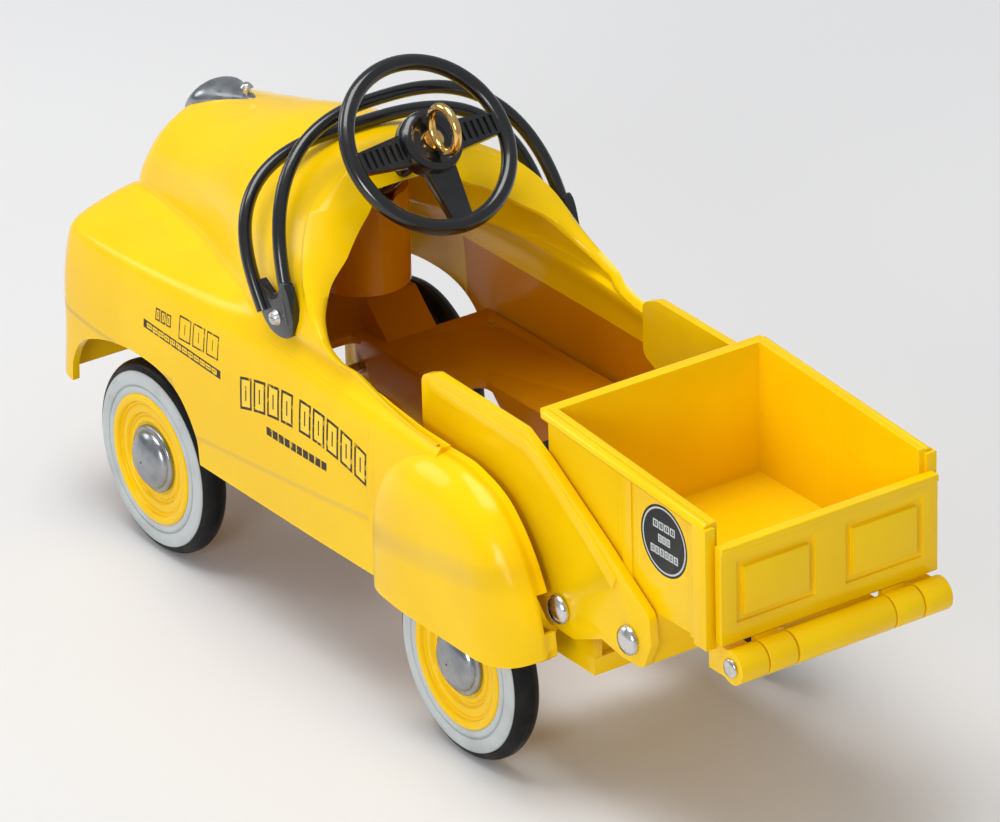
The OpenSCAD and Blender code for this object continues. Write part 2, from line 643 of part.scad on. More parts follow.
module lift_arm() {
    slab_y(arm_in_y, arm_out_y) arm_outline();
    // pressed rib along the upper edge
    slab_y(arm_out_y, arm_out_y + 0.3) offset(r = 0.4) offset(delta = -0.4)
        polygon([[rod_x + 34.5, rod_z + 24.5], [rod_x + 9, rod_z + 24], [rod_x + 5, rod_z + 22],
            [rod_x - 9, rod_z + 13.5], [rivet_x + 4, rivet_z + 7], [rivet_x + 3, rivet_z + 9.2],
            [rod_x - 10, rod_z + 15.6], [rod_x + 4, rod_z + 24.6], [rod_x + 8.6, rod_z + 26.2],
            [rod_x + 34.5, rod_z + 26.4]]);
}
module lift_arm_left() { color(enamel) lift_arm(); }
module lift_arm_right() { color(enamel) mirror([0, 1, 0]) lift_arm(); }
// A domed head of radius r that starts at y, facing outward.
module dome_y(r, h, y, x, z) {
    translate([x, y, z]) rotate([-90, 0, 0]) rotate_extrude()
        polygon(concat([[0, 0], [r, 0], [r, 0.3]],
            [for (a = [15:15:90]) [r * cos(a), 0.3 + (h - 0.3) * sin(a)]]));
}
module tilt_rod() {
    color(steel) {
        rod_y(rod_d / 2, -rod_half, rod_half, rod_x, rod_z);
        both_sides() dome_y(rod_head_r, 1.6, rod_half, rod_x, rod_z);
    }
}
module bed_rivets() {
    color(steel) both_sides() {
        rod_y(arm_rivet_r, bed_w / 2 - 3, arm_out_y, rivet_x, rivet_z);
        dome_y(rod_head_r, 1.6, arm_out_y, rivet_x, rivet_z);
    }
}
module bed_buffers() {
    color(rubber) both_sides() translate([bed_front_x, bed_w / 2 - 6.5, bed_rim_z - 14.5])
        cube([4.5, 5.5, 6.5]);
}

// ---------- tailgate ----------

// The two pressed panels of the gate, from x0 to x1 behind and before its rear face.
module gate_panels(half_w, x0, x1, edge) {
    for (k = [-1, 1]) translate([gate_x + x0, k * gate_half_w / 2 - half_w, gate_z + edge])
        cube([x1 - x0, 2 * half_w, gate_h - 2 * edge + 0.2]);
}
module tailgate() {
    panel_half_w = gate_half_w / 2 - 2.95;
    color(enamel) {
        difference() {
            translate([gate_x, -gate_half_w, gate_z]) cube([gate_t, 2 * gate_half_w, gate_h]);
            gate_panels(panel_half_w, -1, 0.45, 3.2);
        }
        gate_panels(panel_half_w - 1.2, -0.25, 0.55, 4.4);
        translate([gate_x - 0.3, -gate_half_w, gate_z + gate_h - 1.2]) cube([gate_t, 2 * gate_half_w, 1.2]);
        difference() {
            union() for (k = gate_barrels) {
                rod_y(barrel_d / 2, k[0], k[1], hinge_x, hinge_z);
                translate([gate_x + 0.1, k[0] + 0.5, hinge_z])
                    cube([gate_t - 0.4, k[1] - k[0] - 1, gate_z - hinge_z + 1.2]);
            }
            rod_y(gate_pin_d / 2 + play, -40, 40, hinge_x, hinge_z);
        }
    }
}
module tailgate_pin() {
    color(steel) {
        rod_y(gate_pin_d / 2, -gate_pin_half, gate_pin_half, hinge_x, hinge_z);
        both_sides() dome_y(gate_pin_d / 2 + 0.6, 0.8, gate_pin_half, hinge_x, hinge_z);
    }
}
module chassis_screws() {
    color(steel) both_sides() for (x = screw_xs) translate([x, screw_y, pan_z - boss_h]) {
        cylinder(r = screw_r, h = boss_h + pan_t);
        mirror([0, 0, 1]) difference() {
            cylinder(r1 = 1.9, r2 = 1.4, h = 1.1);
            for (a = [0, 90]) rotate(a) translate([-1, -0.2, 0.6]) cube([2, 0.4, 1]);
        }
    }
}

// Moves the model from the middle of its wheelbase to the middle of its overall length.
module centred() {
    translate([-(nose_x + hinge_x - barrel_d / 2) / 2, 0, 0]) children();
}

centred() body_shell();
centred() chassis_pan();
centred() dash_apron();
centred() grille();
centred() headlight_left();
centred() headlight_right();
centred() hood_ornament();
centred() ornament_rivet();
centred() windshield_frame();
centred() windshield_screws();
centred() column_bracket();
centred() steering_column();
centred() steering_wheel();
centred() horn_ring();
centred() front_axle();
centred() rear_axle();
centred() tyre(front_x, 1);  // tyre_front_left
centred() whitewall(front_x, 1);  // whitewall_front_left
centred() wheel_disc(front_x, 1);  // wheel_disc_front_left
centred() hubcap(front_x, 1);  // hubcap_front_left
centred() tyre(front_x, -1);  // tyre_front_right
centred() whitewall(front_x, -1);  // whitewall_front_right
centred() wheel_disc(front_x, -1);  // wheel_disc_front_right
centred() hubcap(front_x, -1);  // hubcap_front_right
centred() tyre(rear_x, 1);  // tyre_rear_left
centred() whitewall(rear_x, 1);  // whitewall_rear_left
centred() wheel_disc(rear_x, 1);  // wheel_disc_rear_left
centred() hubcap(rear_x, 1);  // hubcap_rear_left
centred() tyre(rear_x, -1);  // tyre_rear_right
centred() whitewall(rear_x, -1);  // whitewall_rear_right
centred() wheel_disc(rear_x, -1);  // wheel_disc_rear_right
centred() hubcap(rear_x, -1);  // hubcap_rear_right
centred() pedal_rod();
centred() pedal_left();
centred() pedal_right();
centred() dump_bed();
centred() lift_arm_left();
centred() lift_arm_right();
centred() tilt_rod();
centred() bed_rivets();
centred() bed_buffers();
centred() tailgate();
centred() tailgate_pin();
centred() chassis_screws();
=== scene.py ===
from math import cos, pi, radians, sin, tau

import bmesh
import bpy
import numpy as np
from mathutils import Matrix, Vector


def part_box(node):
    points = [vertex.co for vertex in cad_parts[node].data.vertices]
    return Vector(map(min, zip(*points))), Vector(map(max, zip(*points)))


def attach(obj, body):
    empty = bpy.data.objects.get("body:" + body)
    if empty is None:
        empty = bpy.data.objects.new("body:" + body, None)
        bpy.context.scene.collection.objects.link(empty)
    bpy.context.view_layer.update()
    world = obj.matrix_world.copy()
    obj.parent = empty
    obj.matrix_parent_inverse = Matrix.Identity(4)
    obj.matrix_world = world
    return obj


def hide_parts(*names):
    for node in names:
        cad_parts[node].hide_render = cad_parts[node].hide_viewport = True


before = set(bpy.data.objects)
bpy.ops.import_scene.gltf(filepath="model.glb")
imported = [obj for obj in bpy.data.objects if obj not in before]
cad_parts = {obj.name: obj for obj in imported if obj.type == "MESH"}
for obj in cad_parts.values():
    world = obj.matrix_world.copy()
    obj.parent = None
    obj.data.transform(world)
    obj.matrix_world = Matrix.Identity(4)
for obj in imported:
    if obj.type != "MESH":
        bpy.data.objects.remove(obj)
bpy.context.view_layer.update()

# ---------- camera ----------
# A long lens from behind the truck's left rear corner, a little above it.
# The toy is small, so the camera stands about six truck lengths away.
mm = 0.001
camera_distance = 1200 * mm
camera_target = Vector((27.3 * mm, -18.8 * mm, 25 * mm))
azimuth = radians(235.65)
elevation = radians(26.27)
tilt = radians(-1.59)
back = Vector((sin(azimuth) * cos(elevation), -cos(azimuth) * cos(elevation), sin(elevation)))
level = Vector((0, 0, 1)).cross(back).normalized()
right = cos(tilt) * level + sin(tilt) * back.cross(level)
camera = bpy.data.objects.new("camera", bpy.data.cameras.new("camera"))
camera.data.lens = 258.8
camera.data.sensor_width = 36
camera.data.clip_start = 0.01
camera.matrix_world = (Matrix.Translation(camera_target + back * camera_distance)
                       @ Matrix((right, back.cross(right), back)).transposed().to_4x4())
bpy.context.scene.collection.objects.link(camera)
bpy.context.scene.camera = camera

# ---------- studio ----------
# A flat sheet of pale paper under the truck, under one big soft box overhead
# and two weaker ones at the sides. The room itself is a very light grey.


def link(piece):
    bpy.context.scene.collection.objects.link(piece)
    return piece


class Wire:
    """One output of a shader node. Sums on it add Math nodes to the same material."""

    def __init__(self, tree, socket):
        self.tree = tree
        self.socket = socket

    def node(self, kind, settings, sockets, out=0):
        """Adds a node: its settings first, then the values or wires of its sockets."""
        made = self.tree.nodes.new("ShaderNode" + kind)
        for name, value in settings.items():
            setattr(made, name, value)
        for name, value in sockets.items():
            if isinstance(value, Wire):
                self.tree.links.new(value.socket, made.inputs[name])
            else:
                made.inputs[name].default_value = value
        return Wire(self.tree, made.outputs[out])

    def maths(self, operation, first, second):
        return self.node("Math", {"operation": operation}, {0: first, 1: second})

    def __add__(self, other):
        return self.maths("ADD", self, other)

    __radd__ = __add__

    def __mul__(self, other):
        return self.maths("MULTIPLY", self, other)

    __rmul__ = __mul__

    def __sub__(self, other):
        return self.maths("SUBTRACT", self, other)

    def __rsub__(self, other):
        return self.maths("SUBTRACT", other, self)

    def __gt__(self, other):
        return self.maths("GREATER_THAN", self, other)

    def __lt__(self, other):
        return self.maths("LESS_THAN", self, other)

    def size(self):
        return self.maths("ABSOLUTE", self, 0.0)

    def noise(self, per_metre, detail=2.0, roughness=0.5):
        """Cloudy noise from 0 to 1 at this place, with so many lumps to a metre."""
        sockets = {"Vector": self, "Scale": per_metre, "Detail": detail, "Roughness": roughness}
        return self.node("TexNoise", {}, sockets)

    def between(self, low, high, first, second):
        """first where this is below low, second where it is above high, and a soft ramp between."""
        sockets = {"Value": self, "From Min": low, "From Max": high, "To Min": first, "To Max": second}
        return self.node("MapRange", {"interpolation_type": "SMOOTHSTEP"}, sockets)

    def tint(self, first, second):
        """The first colour where this is 0 and the second where it is 1."""
        first = first if isinstance(first, Wire) else (*first, 1)
        second = second if isinstance(second, Wire) else (*second, 1)
        return self.node("Mix", {"data_type": "RGBA"}, {0: self, 6: first, 7: second}, out=2)


class Finish:
    """A material under construction: its Principled shader and the place on the object."""

    def __init__(self, name, **fixed):
        self.material = bpy.data.materials.new(name)
        self.material.use_nodes = True
        self.tree = self.material.node_tree
        self.shader = self.tree.nodes["Principled BSDF"]
        for socket, value in fixed.items():
            self.shader.inputs[socket.replace("_", " ")].default_value = value
        self.place = Wire(self.tree, self.tree.nodes.new("ShaderNodeTexCoord").outputs["Object"])

    def feed(self, socket, wire):
        self.tree.links.new(wire.socket, self.shader.inputs[socket])

    def bump(self, height, depth, strength=1.0):
        """Raises the surface where height is 1, by depth in metres."""
        sockets = {"Height": height, "Distance": depth, "Strength": strength}
        self.feed("Normal", height.node("Bump", {}, sockets))

    def axes(self):
        """x, y and z of the place, in metres."""
        return [self.place.node("SeparateXYZ", {}, {"Vector": self.place}, out=i) for i in range(3)]


paper = Finish("studio_paper", Roughness=0.9, Specular_IOR_Level=0.15)
paper.feed("Base Color", paper.place.noise(6.0).tint((0.74, 0.735, 0.735), (0.77, 0.765, 0.762)))
floor_mesh = bpy.data.meshes.new("floor")
floor_half = 3.0
floor_mesh.from_pydata([(-floor_half, -floor_half, 0), (floor_half, -floor_half, 0),
                        (floor_half, floor_half, 0), (-floor_half, floor_half, 0)], [], [(0, 1, 2, 3)])
floor_mesh.materials.append(paper.material)
link(bpy.data.objects.new("floor", floor_mesh))

bpy.context.scene.view_settings.view_transform = "Standard"
world = bpy.data.worlds.new("light_room")
world.use_nodes = True
world.node_tree.nodes["Background"].inputs["Color"].default_value = (0.93, 0.96, 1.0, 1)
world.node_tree.nodes["Background"].inputs["Strength"].default_value = 0.42
bpy.context.scene.world = world
for name, place, size, power in (("overhead_box", (0.1, 0.1, 0.9), 0.55, 5.4),
                                 ("left_box", (-0.6, 0.85, 0.4), 0.35, 3.8),
                                 ("front_box", (0.8, 0.5, 0.5), 0.4, 1.6)):
    lamp = bpy.data.lights.new(name, "AREA")
    lamp.shape = "SQUARE"
    lamp.size = size
    lamp.energy = power
    lamp_object = link(bpy.data.objects.new(name, lamp))
    lamp_object.location = place
    lamp_object.rotation_euler = (Vector((0, 0, 0.04)) - Vector(place)).to_track_quat("-Z", "Y").to_euler()

# ---------- body shell ----------
# One thin zinc casting: bonnet, wings, doors and cowl, open below and with a cockpit cut in it.
# It is dipped in thick yellow enamel, which pools a little in corners and is very glossy.
front_axle_x = sum(corner.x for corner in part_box("front_axle")) / 2
rear_axle_x = sum(corner.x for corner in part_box("rear_axle")) / 2
nose_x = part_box("body_shell")[1].x
middle_x = (front_axle_x + rear_axle_x) / 2
body_half = 29.5 * mm
rocker_z = 23 * mm
wall = 1.3 * mm


def smooth(table, x):
    """A soft curve through (place, value) pairs, level outside them."""
    places = [pair[0] for pair in table]
    values = [pair[1] for pair in table]
    x = min(max(x, places[0]), places[-1])
    i = min(max(int(np.searchsorted(places, x)) - 1, 0), len(table) - 2)

    def slope(k):
        if k == 0 or k == len(table) - 1:
            return 0.0
        before = (values[k] - values[k - 1]) / (places[k] - places[k - 1])
        after = (values[k + 1] - values[k]) / (places[k + 1] - places[k])
        return 0.0 if before * after <= 0 else 2 * before * after / (before + after)

    span = places[i + 1] - places[i]
    t = (x - places[i]) / span
    return ((1 + 2 * t) * (1 - t) ** 2 * values[i] + t * (1 - t) ** 2 * span * slope(i)
            + t * t * (3 - 2 * t) * values[i + 1] - t * t * (1 - t) * span * slope(i + 1))


def from_middle(*pairs):
    """A table whose places are millimetres ahead of the middle of the wheelbase."""
    return [(middle_x + place * mm, value * mm) for place, value in pairs]


crown_line = from_middle((-70, 72), (8, 78), (24, 77.8), (34, 77), (46, 74.2), (54, 72.2), (65, 69.4),
                         (68, 67),
                         (70, 63.4), (71.5, 59), (73, 55.4), (76, 52.6))
ledge_line = from_middle((-70, 52), (8, 56.2), (30, 54.9), (55, 53.4), (72, 52.6), (76, 51))
shoulder_line = from_middle((-70, 51), (8, 52.4), (40, 51), (60, 49.8), (72, 48.6), (76, 46.6))
side_line = from_middle((-70, 27.1), (-30, 28.9), (0, 29.5), (40, 29.7), (60, 29.4), (70, 28.6),
                        (73.5, 27.6), (76, 25.6))
bonnet_line = from_middle((-70, 25), (-4, 27.3), (8, 26.7), (24, 22.8), (45, 17.4), (60, 14.9), (70, 13.6),
                          (74, 12), (76, 9))
flare_line = from_middle((60, 0), (76, 1.1))


def half_section(x):
    """Points (y, z) of the body's left half at x, from the lower edge to the crown."""
    side, bonnet = smooth(side_line, x), smooth(bonnet_line, x)
    crown, ledge, shoulder = smooth(crown_line, x), smooth(ledge_line, x), smooth(shoulder_line, x)
    edge = shoulder + 0.75 * (ledge - shoulder)
    lift = crown - ledge
    return [(side + smooth(flare_line, x), rocker_z), (side + 0.4 * mm, rocker_z + 9 * mm),
            (side + 0.3 * mm, rocker_z + 0.62 * (shoulder - rocker_z)), (side - 0.1 * mm, shoulder - 5 * mm),
            (side - 0.8 * mm, shoulder - 1.4 * mm), (side - 2.3 * mm, edge - 0.9 * mm),
            (0.6 * (side - 3 * mm) + 0.4 * bonnet, ledge - 0.1 * mm), (bonnet + 0.5 * mm, ledge + 1.1 * mm),
            (bonnet - 0.7 * mm, ledge + 0.25 * lift), (bonnet * 0.9, ledge + 0.5 * lift),
            (bonnet * 0.74, ledge + 0.74 * lift), (bonnet * 0.5, ledge + 0.9 * lift),
            (bonnet * 0.22, ledge + 0.985 * lift), (0, crown)]


def through(points, steps):
    """A rounded line through the points, with steps pieces between each two of them."""
    line = []
    for i in range(len(points) - 1):
        a = Vector(points[max(i - 1, 0)])
        b = Vector(points[i])
        c = Vector(points[i + 1])
        d = Vector(points[min(i + 2, len(points) - 1)])
        for k in range(steps):
            t = k / steps
            line.append(0.5 * (2 * b + (c - a) * t + (2 * a - 5 * b + 4 * c - d) * t * t
                               + (3 * b - a - 3 * c + d) * t ** 3))
    line.append(Vector(points[-1]))
    return line


def body_ring(x, inset, drop):
    """The closed outline of the body at x as points (x, y, z), drawn in by inset."""
    half = half_section(x)
    whole = half + [(-y, z) for y, z in reversed(half[:-1])]
    run = max(0.0, min(1.0, (x - middle_x - 40 * mm) / (36 * mm)))
    bow = 2 * mm * run * run * (3 - 2 * run)
    ring = []
    for y, z in through(whole, 4):
        z = z - inset if z > rocker_z + 1e-6 else z - drop
        ring.append((x - bow * (y / body_half) ** 2, y * (1 - inset / body_half), z))
    ends = (ring[-1], ring[0])
    for k in range(1, 8):
        ring.append(tuple(ends[0][i] + (ends[1][i] - ends[0][i]) * k / 8 for i in range(3)))
    return ring


def lofted(name, rings):
    """A closed skin through rings of equal length, with a fan at each end."""
    shape = bmesh.new()
    rows = [[shape.verts.new(point) for point in ring] for ring in rings]
    for near, far in zip(rows, rows[1:]):
        for i in range(len(near)):
            j = (i + 1) % len(near)
            shape.faces.new((near[i], near[j], far[j], far[i]))
    for row in (rows[0], rows[-1]):
        middle = shape.verts.new(sum((vert.co for vert in row), Vector()) / len(row))
        for i in range(len(row)):
            shape.faces.new((row[i], row[(i + 1) % len(row)], middle))
    bmesh.ops.recalc_face_normals(shape, faces=shape.faces)
    mesh = bpy.data.meshes.new(name)
    shape.to_mesh(mesh)
    shape.free()
    return link(bpy.data.objects.new(name, mesh))


def body_solid(name, inset, drop, tail):
    """The body as a solid lump, with its nose rounded over by rings that shrink."""
    front = nose_x - inset
    stations = np.concatenate([np.linspace(rear_axle_x + 6 * mm - tail, front - 14 * mm, 74),
                               np.linspace(front - 13 * mm, front - 1.2 * mm, 18)])
    rings = [body_ring(x, inset, drop) for x in stations]
    last = rings[-1]
    heart = 38 * mm
    for angle in (20, 40, 60, 78, 90):
        draw = 1 - 0.045 * (1 - cos(radians(angle)))
        push = 1.1 * mm * sin(radians(angle))
        rings.append([(x + push, y * draw, heart + (z - heart) * draw) for x, y, z in last])
    for draw in (0.8, 0.55, 0.3):
        rings.append([(x, y * draw, heart + (z - heart) * draw) for x, y, z in rings[-1]])
    return lofted(name, rings)


def prism(name, outline, low, high):
    """A side-view outline of (x, z) points, as a solid between two values of y."""
    rings = [[(x, y, z) for x, z in outline] for y in (low, high)]
    return lofted(name, rings)


def use(piece, modifier_type, **settings):
    """Adds a modifier, applies it and leaves the plain mesh."""
    modifier = piece.modifiers.new(modifier_type, modifier_type)
    for name, value in settings.items():
        setattr(modifier, name, value)
    with bpy.context.temp_override(object=piece, active_object=piece):
        bpy.ops.object.modifier_apply(modifier=modifier.name)


def carve(piece, tool, operation="DIFFERENCE"):
    """Cuts the tool from the piece, or adds it for UNION, and deletes the tool."""
    use(piece, "BOOLEAN", object=tool, operation=operation, solver="MANIFOLD")
    bpy.data.objects.remove(tool)


def mirrored(outline, low, high, name):
    """The same side-view solid on the left and on the right."""
    return [prism(name, outline, low, high), prism(name, outline, -high, -low)]


guard_rear_x = middle_x - 66.3 * mm
guard_front_x = middle_x - 22.6 * mm
guard_inner_y = 24.2 * mm
tilt_rivet = (middle_x - 64.8 * mm, 32.6 * mm)
notch_radius = 3.2 * mm
guard_top = from_middle((-66.3, 27), (-65.8, 30), (-64.2, 35), (-61, 41), (-57.6, 45.2), (-54, 48.2),
                        (-49.4, 50), (-44, 51),
                        (-38, 50.9), (-33, 49.6), (-28, 46.6), (-25, 43.6), (-23.4, 40), (-22.6, 35))
guard_side = from_middle((-66.3, 26.2), (-65.8, 27.4), (-64, 29.6), (-60, 31.2), (-54, 32.2), (-36, 32.2),
                         (-28, 31.6),
                         (-24.6, 30.6), (-22.6, 28.9))


def guard_solid(name, side, inset):
    """A rear mudguard as a solid lump, from its front edge back to its rounded tail."""
    low_x, high_x = guard_rear_x + inset, guard_front_x - inset
    rings = []
    for x in low_x + (high_x - low_x) * (1 - np.cos(np.linspace(0, pi, 44))) / 2:
        top, out = smooth(guard_top, x) - inset, smooth(guard_side, x) - inset
        inner = guard_inner_y - (0 if inset == 0 else mm)
        foot = rocker_z - (0.4 * mm if inset == 0 else 6 * mm)
        tail = max(0.0, (middle_x - 56 * mm - x) / (13.6 * mm))
        foot += 5.2 * mm * tail ** 2.2
        ring = [(x, inner, foot), (x, inner, top)]
        radius_y, radius_z = out - inner, min(13 * mm, top - foot - 0.5 * mm)
        for angle in range(0, 91, 6):
            shape = 2 / 2.5
            ring.append((x, inner + radius_y * sin(radians(angle)) ** shape,
                         top - radius_z + radius_z * cos(radians(angle)) ** shape))
        ring.append((x, out, foot))
        rings.append([(px, side * py, pz) for px, py, pz in ring])
    return lofted(name, rings)


body = body_solid("body_panels", 0, 0, 0)
carve(body, body_solid("inside", wall, 3 * mm, 4 * mm))
for side in (1, -1):
    carve(body, guard_solid("guard", side, 0), "UNION")
    carve(body, guard_solid("guard_inside", side, wall))
    notch = [(tilt_rivet[0] + notch_radius * cos(tau * k / 32),
              tilt_rivet[1] + notch_radius * sin(tau * k / 32))
             for k in range(32)]
    near, far = sorted((side * 20 * mm, side * 26.2 * mm))
    carve(body, prism("rivet_notch", notch, near, far))


def outline_from_middle(*points):
    """Side-view points given in millimetres ahead of the middle of the wheelbase and above the ground."""
    return [(middle_x + x * mm, z * mm) for x, z in points]


cockpit_side = outline_from_middle((-90, 51.4), (-42, 51.4), (-32, 52), (-24, 53), (-17, 54.4), (-9, 56.8),
                                   (-4, 59.6),
                                   (0, 63.6), (3.4, 68), (8.4, 73), (12.4, 76.4), (13.4, 90), (-90, 90))
carve(body, prism("cockpit_cut", cockpit_side, -60 * mm, 60 * mm))
wheel_arch = [(front_axle_x + x * mm, z * mm) for x, z in through(
    [(-17, 3), (-17, 23), (-16.4, 28.4), (-12.6, 33.6), (-7, 36.2), (0, 36.8), (7, 36.2), (14, 34.4),
     (19.6, 31.6),
     (22.6, 27.6), (23.2, 23), (23.4, 3)], 5)]
for tool in mirrored(wheel_arch, 23.5 * mm, 40 * mm, "arch_cut"):
    carve(body, tool)
mouth_low, mouth_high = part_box("grille")
carve(body, prism("mouth_cut", [(nose_x - 12 * mm, mouth_low.z), (nose_x + 9 * mm, mouth_low.z),
                                (nose_x + 9 * mm, mouth_high.z), (nose_x - 12 * mm, mouth_high.z)],
                  mouth_low.y, mouth_high.y))


def enamel_colours(finish):
    """Base colour of the enamel: slow thick and thin patches, and a few dark specks in the paint."""
    patches = finish.place.noise(55.0, 3.0).between(0.35, 0.65, 0.0, 1.0)
    cells = finish.place.node("TexVoronoi", {}, {"Vector": finish.place, "Scale": 110.0})
    rare = finish.place.node("TexVoronoi", {}, {"Vector": finish.place, "Scale": 110.0}, out=1)
    rare = rare.node("SeparateColor", {}, {"Color": rare})
    speck = (cells < 0.02) * (rare > 0.93)
    yellow = patches.tint((0.955, 0.585, 0.001), (0.985, 0.625, 0.0012))
    return speck.tint(yellow, (0.4, 0.2, 0.01))


def enamel_surface(finish, height=None):
    """Orange peel and faint smears on the gloss, over a pressed shape given by height from 0 to 1."""
    finish.feed("Roughness", finish.place.noise(90.0, 3.0).between(0.3, 0.75, 0.2, 0.27))
    peel = finish.place.noise(420.0, 2.0) * 0.006 + finish.place.noise(60.0, 1.0) * 0.02
    finish.bump(peel if height is None else peel + height, 0.8 * mm)


def inside_box(x, z, middle, half_x, half_z):
    """1 where (x, z) lies in a rectangle round the middle, given in metres."""
    return ((x - middle[0]).size() < half_x) * ((z - middle[1]).size() < half_z)


def along_line(x, start, end):
    """The height of a straight line from start to end at x."""
    slope = (end[1] - start[1]) / (end[0] - start[0])
    return (x - start[0]) * slope + start[1]


def block_row(x, rise, first, last, count, half_z, line):
    """A row of outlined upright blocks between two places, as (outline, filling).

    rise is the height above the middle of the row, and line is how thick the outline is.
    """
    pitch = (first - last) / count
    blocks_along = (first - x) * (1 / pitch)
    across = (blocks_along.maths("FRACT", blocks_along, 0.0) - 0.5).size() * pitch
    inside_row = inside_box(x, rise, ((first + last) / 2, 0.0), (first - last) / 2, 1.0)
    outer = inside_row * (across < 0.43 * pitch) * (rise.size() < half_z)
    inner = inside_row * (across < 0.43 * pitch - line) * (rise.size() < half_z - line)
    slit = inside_row * (across < 0.35 * line) * (rise.size() < 0.45 * half_z)
    return outer - inner + slit, inner


door_enamel = Finish("yellow_enamel_door", Coat_Roughness=0.04, Coat_Weight=0.08, Specular_IOR_Level=0.18)
along, across, up = door_enamel.axes()
ahead = along - middle_x
outside = across.size() - ahead * 0.004 > 28.7 * mm
door_side = outside * (up < 52 * mm)
arched = up - 44.2 * mm + (ahead + 3.5 * mm) * (ahead + 3.5 * mm) * 7.8
number_rise = up - along_line(ahead, (20 * mm, 47.0 * mm), (40 * mm, 46.3 * mm))
bar_rise = up - along_line(ahead, (20 * mm, 42.6 * mm), (43.4 * mm, 43.4 * mm))
rows = [block_row(ahead, arched, 14.5 * mm, -1.4 * mm, 4, 2.9 * mm, 0.5 * mm),
        block_row(ahead, arched, -2.6 * mm, -22 * mm, 5, 2.9 * mm, 0.5 * mm),
        block_row(ahead, number_rise, 33 * mm, 20.5 * mm, 3, 2.1 * mm, 0.3 * mm),
        block_row(ahead, number_rise, 40 * mm, 35 * mm, 3, 1.1 * mm, 0.3 * mm)]
dashes = block_row(ahead, up - 37.9 * mm, 6.7 * mm, -10.8 * mm, 10, 0.75 * mm, 0.9 * mm)
bar = inside_box(ahead, bar_rise, (31.7 * mm, 0.0), 11.7 * mm, 0.75 * mm)
nicks = block_row(ahead, bar_rise, 42.5 * mm, 21 * mm, 12, 0.42 * mm, 0.3 * mm)
ink = rows[0][0] + rows[1][0] + rows[2][0] + rows[3][0] + dashes[0] + bar * (1 - nicks[0])
filling = rows[0][1] + rows[1][1]
worn = door_enamel.place.noise(900.0, 2.0).between(0.3, 0.42, 0.35, 1.0)
worn_ink = ink * door_side * worn
printed = worn_ink.maths("MINIMUM", worn_ink, 1.0)
# Painted shade: the inner faces of the shell walls, below the cockpit edge and between the guard and the
# cowl, are tinted a deep orange-brown to stand for the shade inside the body.
painted_shade_inside = ((1 - outside) * (across.size() > 24 * mm) * (up < 46 * mm)
          * (ahead > -22 * mm) * (ahead < 34 * mm))
door_yellow = (filling * door_side * 0.35).tint(enamel_colours(door_enamel), (1.0, 0.74, 0.1))
door_yellow = painted_shade_inside.tint(door_yellow, (0.66, 0.25, 0.0015))
door_enamel.feed("Base Color", printed.tint(door_yellow, (0.035, 0.018, 0.006)))
lower_line = up - along_line(ahead, (29.7 * mm, 27.9 * mm), (-3.3 * mm, 31.3 * mm))
front_line = ahead - 29.7 * mm - (up - 27.9 * mm) * 0.7
behind_line = front_line.between(-0.7 * mm, 0.5 * mm, 1.0, 0.0)
above_line = (up - 36 * mm).between(-0.6 * mm, 0.6 * mm, 0.0, 1.0)
panel = lower_line.between(-0.7 * mm, 0.7 * mm, 0.0, 0.5) * behind_line.maths("MAXIMUM", behind_line,
                                                                              above_line)
bosses = [(((ahead - x * mm) * (ahead - x * mm) + (up - z * mm) * (up - z * mm)) < (0.9 * mm) ** 2)
          for x, z in ((35.4, 36.2), (29.7, 27.9))]
door_relief = (panel + bosses[0] * 2.0 + bosses[1] * 2.0) * (across.size() > 28 * mm) * (ahead > -22 * mm)
swell = (up - along_line(ahead, (-29 * mm, 33.6 * mm), (-60 * mm, 38 * mm))).between(-3.0 * mm, 2.6 * mm,
                                                                                     0.0, 1.5)
rolled = across.size().between(25.2 * mm, 26.8 * mm, 0.0, 0.6)
guard_relief = (swell * ahead.between(-66 * mm, -58 * mm, 0.0, 1.0) + rolled) * (ahead < -23.5 * mm)
enamel_surface(door_enamel, door_relief + guard_relief)
enamel = Finish("yellow_enamel", Coat_Roughness=0.04, Coat_Weight=0.08, Specular_IOR_Level=0.18)
enamel.feed("Base Color", enamel_colours(enamel))
enamel_surface(enamel)
# Painted shade: on the pan, dash apron and column bracket the enamel turns a dark orange-brown from 24 mm up,
# fully above 30 mm, standing for the shade under the shell and in the cockpit.
painted_shade_enamel = Finish("yellow_enamel_painted_shade", Specular_IOR_Level=0.3)
painted_shade_enamel.feed("Base Color", painted_shade_enamel.axes()[2].between(24 * mm, 30 * mm, 0.0, 1.0).tint(
    enamel_colours(painted_shade_enamel), (0.60, 0.22, 0.001)))
enamel_surface(painted_shade_enamel)


def shade(piece, angle=32):
    """Smooth shading, with edges sharper than the angle kept crisp."""
    bpy.context.view_layer.objects.active = piece
    with bpy.context.temp_override(object=piece, active_object=piece, selected_editable_objects=[piece],
                                   selected_objects=[piece]):
        bpy.ops.object.shade_smooth_by_angle(angle=radians(angle), keep_sharp_edges=False)


def dress(piece, finish, slot, body_name, *nodes):
    """Gives a finished piece its material, and puts it in place of its CAD nodes on their body."""
    piece.data.materials.clear()
    piece.data.materials.append(finish.material)
    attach(piece, body_name)
    if nodes:
        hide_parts(*nodes)


